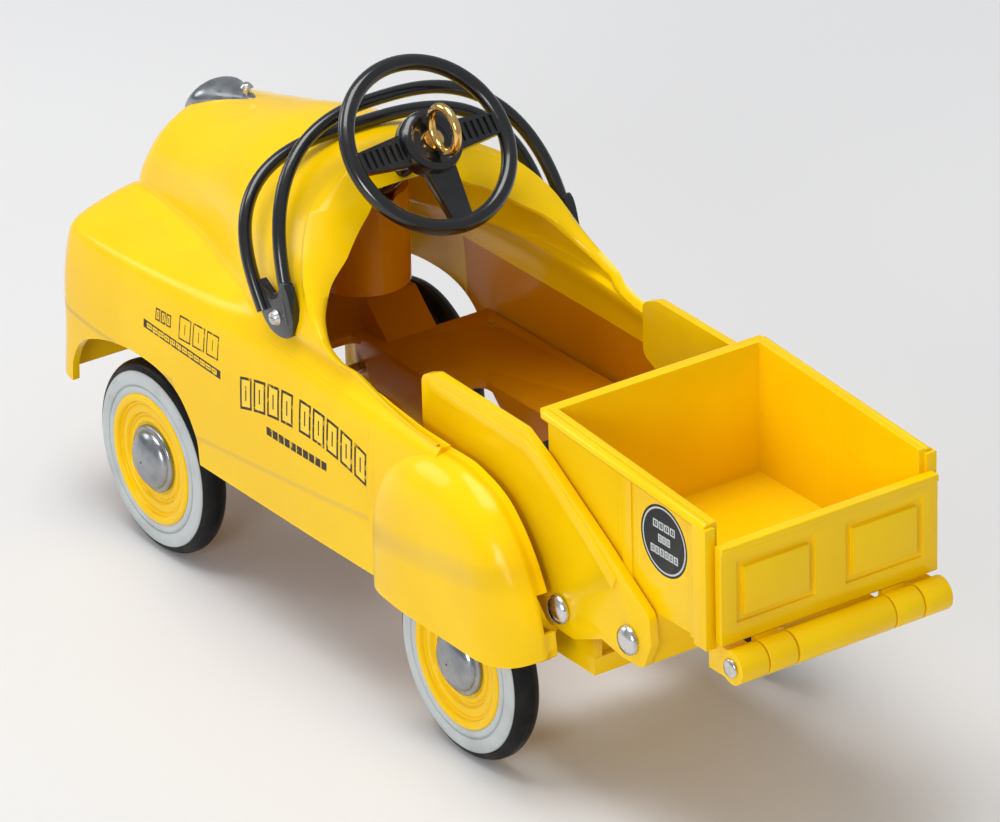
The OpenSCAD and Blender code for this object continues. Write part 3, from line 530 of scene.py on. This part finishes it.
def tube(name, points, radius):
    """A round bar along the points."""
    curve = bpy.data.curves.new(name, "CURVE")
    curve.dimensions = "3D"
    curve.bevel_depth = radius
    curve.bevel_resolution = 5
    curve.use_fill_caps = True
    line = curve.splines.new("POLY")
    line.points.add(len(points) - 1)
    for point, place in zip(line.points, points):
        point.co = (*place, 1)
    bent = bpy.data.objects.new(name, curve)
    piece = link(bpy.data.objects.new(name, bpy.data.meshes.new_from_object(bent)))
    bpy.data.objects.remove(bent)
    return piece


def joined(pieces):
    """Several meshes as one, which keeps the first one's name."""
    with bpy.context.temp_override(object=pieces[0], active_object=pieces[0], selected_objects=pieces,
                                   selected_editable_objects=pieces):
        bpy.ops.object.join()
    return pieces[0]


def half_width_at(x, z):
    """Half the body's outside width at height z, found along its outline at x."""
    half = through(half_section(x), 6)
    for (y0, z0), (y1, z1) in zip(half, half[1:]):
        if z0 <= z <= z1 or z1 <= z <= z0:
            return y0 + (y1 - y0) * (z - z0) / (z1 - z0 or 1)
    return 0.0


lip_side = outline_from_middle((-38, 51.6), (-32, 52.1), (-24, 53.2), (-17, 54.7), (-9, 57.1), (-4, 60),
                               (0, 64), (3.4, 68.3),
                               (8.4, 73.3), (11, 75.4), (12.2, 76.6), (12.8, 77.7))
lip_inset = from_middle((-38, 0.9), (-9, 1.3), (-4, 2.2), (0, 4), (3.4, 7), (8.4, 8), (11, 6.6),
                        (12.2, 4.4), (12.8, 0))
lip_back = from_middle((-38, 0), (-4, 0.6), (0, 1.4), (3.4, 2.6), (8.4, 4), (12.8, 4.6))
lip_drop = from_middle((-38, 0.2), (0, 0.4), (3.4, 0.9), (8.4, 2.2), (11, 3), (12.8, 4))
lip_rings = []
for x, z in through(lip_side, 8):
    skin = Vector((x, half_width_at(x, z) if x < middle_x + 12.75 * mm else 0.0, z))
    inner = Vector((x - smooth(lip_back, x), max(skin.y - smooth(lip_inset, x), 0.0),
                    z - smooth(lip_drop, x)))
    outward = Vector((-0.5, 0.45 if skin.y > 0 else 0.0, 0.7)).normalized() * 0.8 * mm
    behind = Vector((1.1 * mm, -0.5 * mm if skin.y > 0 else 0.0, -0.6 * mm))
    start = skin + Vector((0.8 * mm, 0, -0.2 * mm))
    lip_rings.append([start, skin + outward * 0.35, skin.lerp(inner, 0.35) + outward,
                      skin.lerp(inner, 0.75) + outward * 0.8,
                      inner + outward * 0.2, inner + behind * 0.4, skin.lerp(inner, 0.5) + behind,
                      start + behind])
lip_rings += [[Vector((point.x, -point.y, point.z)) for point in ring] for ring in reversed(lip_rings[:-1])]
shade(body, 28)
dress(body, door_enamel, "yellow_enamel", "chassis", "body_shell")
cockpit_lip = lofted("cockpit_lip", lip_rings)
shade(cockpit_lip, 60)
dress(cockpit_lip, enamel, "yellow_enamel", "chassis")

# ---------- chassis pan, dash apron, column bracket ----------
# Bent steel sheet under and behind the cast shell, dipped in the same yellow enamel; its colour here is
# painted a dark orange-brown above 24 to 30 mm as shade.
# Screwed to bosses inside the doors; the pan carries both axles, the pedal rod and the tilt rod.


def softened(node, width=0.25 * mm, segments=2, angle=30):
    """A CAD node's own shape with its edges rounded off."""
    shape = bmesh.new()
    shape.from_mesh(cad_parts[node].data)
    bmesh.ops.remove_doubles(shape, verts=shape.verts, dist=1e-6)
    bmesh.ops.dissolve_limit(shape, angle_limit=radians(0.5), verts=shape.verts, edges=shape.edges)
    mesh = bpy.data.meshes.new(node + "_visual")
    shape.to_mesh(mesh)
    shape.free()
    piece = link(bpy.data.objects.new(node + "_visual", mesh))
    use(piece, "BEVEL", width=width, segments=segments, limit_method="ANGLE", angle_limit=radians(angle),
        harden_normals=False)
    shade(piece)
    return piece


for node in ("chassis_pan", "dash_apron", "column_bracket"):
    dress(softened(node), painted_shade_enamel, "yellow_enamel", "chassis", node)

# ---------- windshield frame ----------
# Two bent wire hoops, the rear one taller, that meet in a flattened foot on each side of the cowl.
# Glossy black enamel on steel; one cross-headed screw holds each foot.
black = Finish("black_enamel", Coat_Weight=0.5, Coat_Roughness=0.03)
dust = black.place.noise(160.0, 4.0).between(0.5, 0.8, 0.0, 1.0)
black.feed("Base Color", dust.tint((0.006, 0.006, 0.0065), (0.012, 0.012, 0.012)))
black.feed("Roughness", black.place.noise(110.0, 3.0).between(0.3, 0.7, 0.16, 0.3))
black.bump(black.place.noise(260.0, 2.0), 0.02 * mm, 0.5)


def arch(foot, width, top, bow, square):
    """Points of a hoop from its left foot over the top to its right foot."""
    points = []
    for step in range(73):
        t = pi * step / 72
        h = max(sin(t), 0.0) ** (2 / square)
        side = (1 if cos(t) >= 0 else -1) * abs(cos(t)) ** (2 / square)
        points.append((middle_x + (foot[0] + (top[0] - foot[0]) * h ** bow) * mm, width * side * mm,
                       (foot[1] + (top[1] - foot[1]) * h) * mm))
    return points


hoops = [tube("windshield_hoops", arch((1.4, 58.4), 27.4, (14.5, 86.1), 1.2, 2.6), 1.15 * mm),
         tube("front_hoop", arch((8.2, 58.4), 28.4, (21.5, 79), 1.0, 3.0), 1.15 * mm)]
foot_outline = outline_from_middle((-0.3, 59.4), (0.4, 56.6), (3.4, 55.4), (7.0, 56.1), (9.7, 59.2),
                                   (10, 63), (8.8, 62.8),
                                   (6.4, 61.2), (4.0, 62.4), (2.9, 65.2), (1.2, 64))
for plate in mirrored(through(foot_outline + foot_outline[:1], 5)[:-1], 26.7 * mm, 28.4 * mm, "foot_plate"):
    use(plate, "BEVEL", width=0.35 * mm, segments=3, limit_method="ANGLE", angle_limit=radians(40))
    hoops.append(plate)
windshield = joined(hoops)
shade(windshield, 40)
dress(windshield, black, "black_enamel", "chassis", "windshield_frame")

# ---------- steering wheel and column ----------
# Moulded wheel with a round rim and three spokes, the two side ones ribbed, glossy black.
# It sits on the end of the column, which turns in a tube behind the dash.
wheel = softened("steering_wheel", 0.18 * mm, 2, 35)
dress(wheel, black, "black_enamel", "steering", "steering_wheel")
column = softened("steering_column", 0.1 * mm)
dress(column, black, "black_enamel", "steering", "steering_column")

# ---------- horn ring ----------
# A small polished ring that stands on the hub on a nut-like foot, plated gold.
# It is pressed into the hub and turns with the wheel.
gold = Finish("gold_plate", Metallic=1.0)
gold_wear = gold.place.noise(700.0, 3.0).between(0.4, 0.7, 0.0, 1.0)
gold.feed("Base Color", gold_wear.tint((0.90, 0.60, 0.22), (0.80, 0.47, 0.14)))
gold.feed("Roughness", gold.place.noise(500.0, 3.0).between(0.3, 0.7, 0.1, 0.24))
gold.bump(gold.place.noise(600.0, 2.0), 0.02 * mm, 0.6)
ring = softened("horn_ring", 0.1 * mm, 2, 50)
dress(ring, gold, "gold_plate", "steering", "horn_ring")

# ---------- screws, rods and rivets ----------
# Bright nickel-plated steel with fine turning marks: axles, tilt rod, pins, domed rivets and screws.
# Each rivet head is pressed over the end of its rod.
steel = Finish("bright_steel", Metallic=1.0)
tarnish = steel.place.noise(400.0, 4.0).between(0.45, 0.75, 0.0, 1.0)
steel.feed("Base Color", tarnish.tint((0.70, 0.69, 0.68), (0.42, 0.40, 0.39)))
steel.feed("Roughness", steel.place.noise(900.0, 3.0).between(0.3, 0.7, 0.16, 0.34))
steel.bump(steel.place.noise(1500.0, 2.0), 0.02 * mm, 0.5)
for node, body_name in (("windshield_screws", "chassis"), ("chassis_screws", "chassis"),
                        ("front_axle", "chassis"),
                        ("rear_axle", "chassis"), ("pedal_rod", "chassis"), ("tilt_rod", "chassis"),
                        ("ornament_rivet", "chassis"), ("pedal_left", "pedal_l"), ("pedal_right", "pedal_r"),
                        ("bed_rivets", "bed"), ("tailgate_pin", "bed")):
    piece = softened(node, 0.08 * mm)
    if node == "windshield_screws":
        for point in piece.data.vertices:
            point.co.y = max(abs(point.co.y), 26.5 * mm) * (1 if point.co.y > 0 else -1)
    dress(piece, steel, "bright_steel", body_name, node)

# ---------- nose trim ----------
# Grille, lamps and the teardrop on the bonnet: castings plated a soft satin chrome.
# The teardrop has one small rivet near its tail, and the grille and lamps are pushed into the nose.
chrome = Finish("chrome_plate", Metallic=1.0)
cloud = chrome.place.noise(240.0, 4.0).between(0.35, 0.7, 0.0, 1.0)
chrome.feed("Base Color", cloud.tint((0.38, 0.40, 0.42), (0.28, 0.29, 0.31)))
chrome.feed("Roughness", chrome.place.noise(420.0, 4.0).between(0.3, 0.7, 0.2, 0.38))
chrome.bump(chrome.place.noise(300.0, 3.0), 0.04 * mm, 0.5)
for node in ("grille", "headlight_left", "headlight_right"):
    dress(softened(node, 0.12 * mm), chrome, "chrome_plate", "chassis", node)
drop_low, drop_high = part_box("hood_ornament")
drop_width = [(0.0, 0.2), (0.03, 1.6), (0.1, 3.6), (0.22, 5.0), (0.34, 5.1), (0.6, 3.4), (0.85, 1.7),
              (0.96, 1.0), (1.0, 0.2)]
drop_lift = [(0.0, 0.1), (0.03, 0.9), (0.12, 2.0), (0.34, 2.7), (0.6, 1.7), (0.85, 0.9), (1.0, 0.1)]
drop_rings = []
for step in range(41):
    share = (1 - cos(pi * step / 40)) / 2
    x = drop_high.x - (drop_high.x - drop_low.x) * share
    wide, lift = smooth(drop_width, share) * mm, smooth(drop_lift, share) * mm
    base = smooth(crown_line, x) - 0.5 * mm
    swell_here = [base + (lift + 0.5 * mm) * max(sin(tau * k / 32), -0.3) for k in range(32)]
    drop_rings.append([(x, wide * cos(tau * k / 32), min(swell_here[k], drop_high.z)) for k in range(32)])
drop = lofted("bonnet_teardrop", drop_rings)
shade(drop, 60)
dress(drop, chrome, "chrome_plate", "chassis", "hood_ornament")

# ---------- road wheels ----------
# Black rubber tyre with an off-white band let into its side, on a pressed yellow disc with stepped rings.
# A domed plated cap snaps over the middle, and the disc turns on the fixed axle.
rubber = Finish("tyre_rubber", Specular_IOR_Level=0.15)
scuffs = rubber.place.noise(300.0, 5.0).between(0.4, 0.7, 0.0, 1.0)
rubber.feed("Base Color", scuffs.tint((0.006, 0.006, 0.0065), (0.014, 0.013, 0.012)))
rubber.feed("Roughness", rubber.place.noise(220.0, 4.0).between(0.3, 0.7, 0.32, 0.5))
rubber.bump(rubber.place.noise(900.0, 3.0), 0.04 * mm, 0.5)
white = Finish("whitewall_rubber")
grime = white.place.noise(130.0, 5.0).between(0.45, 0.8, 0.0, 1.0)
white.feed("Base Color", grime.tint((0.52, 0.56, 0.57), (0.42, 0.45, 0.44)))
white.feed("Roughness", white.place.noise(260.0, 3.0).between(0.3, 0.7, 0.3, 0.45))
white.bump(white.place.noise(800.0, 2.0), 0.03 * mm, 0.5)


def turned(name, profile, centre, out):
    """A ring turned about the axle: profile points are (radius, distance outward) in millimetres."""
    shape = bmesh.new()
    sides = 112
    rows = [[shape.verts.new((centre[0] + radius * mm * cos(tau * k / sides), centre[1] + out * reach * mm,
                              centre[2] + radius * mm * sin(tau * k / sides))) for k in range(sides)]
            for radius, reach in profile]
    for near, far in zip(rows, rows[1:] + rows[:1]):
        for k in range(sides):
            shape.faces.new((near[k], near[(k + 1) % sides], far[(k + 1) % sides], far[k]))
    bmesh.ops.recalc_face_normals(shape, faces=shape.faces)
    mesh = bpy.data.meshes.new(name)
    shape.to_mesh(mesh)
    shape.free()
    return link(bpy.data.objects.new(name, mesh))


def rounded(points):
    """A profile with its corners drawn smooth."""
    return [tuple(point) for point in through(points, 4)]


tyre_profile = [(11.5, -2.1), (11.5, 1.9), (15.45, 1.9), (15.45, 2.2)] + rounded(
    [(15.5, 2.25), (15.9, 2.1), (16.4, 1.75), (16.8, 1.1), (17.0, 0.5), (17.0, 0.0), (17.0, -0.5),
     (16.8, -1.1),
     (16.4, -1.75), (15.9, -2.1), (14.1, -2.5), (12.6, -2.3)])
band_profile = [(11.5, 1.9), (15.4, 1.9)] + rounded(
    [(15.4, 2.3), (15.1, 2.55), (14.3, 2.72), (13.5, 2.7), (13.12, 2.6), (12.98, 2.3), (12.82, 2.3),
     (12.66, 2.6), (12.3, 2.7),
     (11.8, 2.62), (11.5, 2.45)])
disc_profile = [(1.56, 1.6), (1.56, -2.6), (3.4, -2.6), (3.4, -1.2), (8.9, -0.9), (9.7, -2.1),
                (11.5, -2.1)] + rounded(
    [(11.5, 2.6), (11.2, 2.8), (10.5, 2.8), (10.15, 2.6), (9.95, 2.05), (9.65, 1.95), (9.3, 2.1),
     (8.3, 2.12), (8.0, 1.9),
     (7.75, 1.5), (7.4, 1.45), (7.1, 1.75), (6.5, 1.8), (6.1, 1.6), (5.6, 1.6)])
cap_profile = [(0.02, 1.6), (5.9, 1.6), (5.9, 2.2), (5.7, 2.45), (5.35, 2.5)] + [
    (5.1 * cos(radians(a)) + 0.02, 2.4 + 2.15 * sin(radians(a))) for a in range(4, 91, 6)]
for corner in ("front_left", "front_right", "rear_left", "rear_right"):
    low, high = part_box("tyre_" + corner)
    centre = (low + high) / 2
    out = 1 if centre.y > 0 else -1
    body_name = "wheel_" + corner
    for label, profile, finish, slot, node in (("tyre", tyre_profile, rubber, "tyre_rubber", "tyre_"),
                                               ("band", band_profile, white, "whitewall_rubber",
                                                "whitewall_"),
                                               ("disc", disc_profile, enamel, "yellow_enamel", "wheel_disc_"),
                                               ("cap", cap_profile, chrome, "chrome_plate", "hubcap_")):
        piece = turned(f"{label}_{corner}", profile, centre, out)
        shade(piece, 50)
        dress(piece, finish, slot, body_name, node + corner)

# ---------- dump bed, arms and tailgate ----------
# Pressed sheet box with a rolled rim, ribs and a printed disc on each side, in the same yellow enamel.
# Two flat arms riveted to a channel under it swing on the tilt rod; the gate hangs on a pin at the back.
bed_enamel = Finish("yellow_enamel_bed", Coat_Roughness=0.04, Coat_Weight=0.08, Specular_IOR_Level=0.18)
along, across, up = bed_enamel.axes()
ahead = along - middle_x
from_disc = (ahead + 90.1 * mm) * (ahead + 90.1 * mm) + (up - 54.1 * mm) * (up - 54.1 * mm)
on_side = across.size() > 20 * mm
badge = (from_disc < (5.95 * mm) ** 2) * on_side
pale = (from_disc < (5.55 * mm) ** 2) * (from_disc > (5.25 * mm) ** 2)
for height, half_width, count in ((56.4, 2.9, 4), (54.2, 1.6, 3), (51.9, 3.6, 6)):
    row = block_row(ahead, up - height * mm, (half_width - 90.1) * mm, (-half_width - 90.1) * mm, count,
                    0.68 * mm,
                    0.26 * mm)
    pale = pale + row[0]
badge_colour = (pale * 0.9).tint((0.012, 0.012, 0.014), (0.62, 0.66, 0.66))
bed_enamel.feed("Base Color", badge.tint(enamel_colours(bed_enamel), badge_colour))
pressed = inside_box(ahead, across, (-65.3 * mm, 0.0), 4.3 * mm, 16.9 * mm) * (up < 43 * mm) * 1.2
ribs = inside_box(ahead, up, (-80.6 * mm, 50 * mm), 2.4 * mm, 12 * mm)
ribs = ribs + inside_box(ahead, up, (-99.6 * mm, 50 * mm), 3.4 * mm, 12 * mm)
enamel_surface(bed_enamel, pressed + ribs * (across.size() > 18.5 * mm))
dress(softened("dump_bed", 0.22 * mm, 3), bed_enamel, "yellow_enamel", "bed", "dump_bed")
for node in ("lift_arm_left", "lift_arm_right"):
    dress(softened(node, 0.4 * mm, 3), enamel, "yellow_enamel", "bed", node)
dress(softened("bed_buffers", 0.5 * mm, 3), rubber, "tyre_rubber", "bed", "bed_buffers")
dress(softened("tailgate", 0.25 * mm, 3), enamel, "yellow_enamel", "gate", "tailgate")
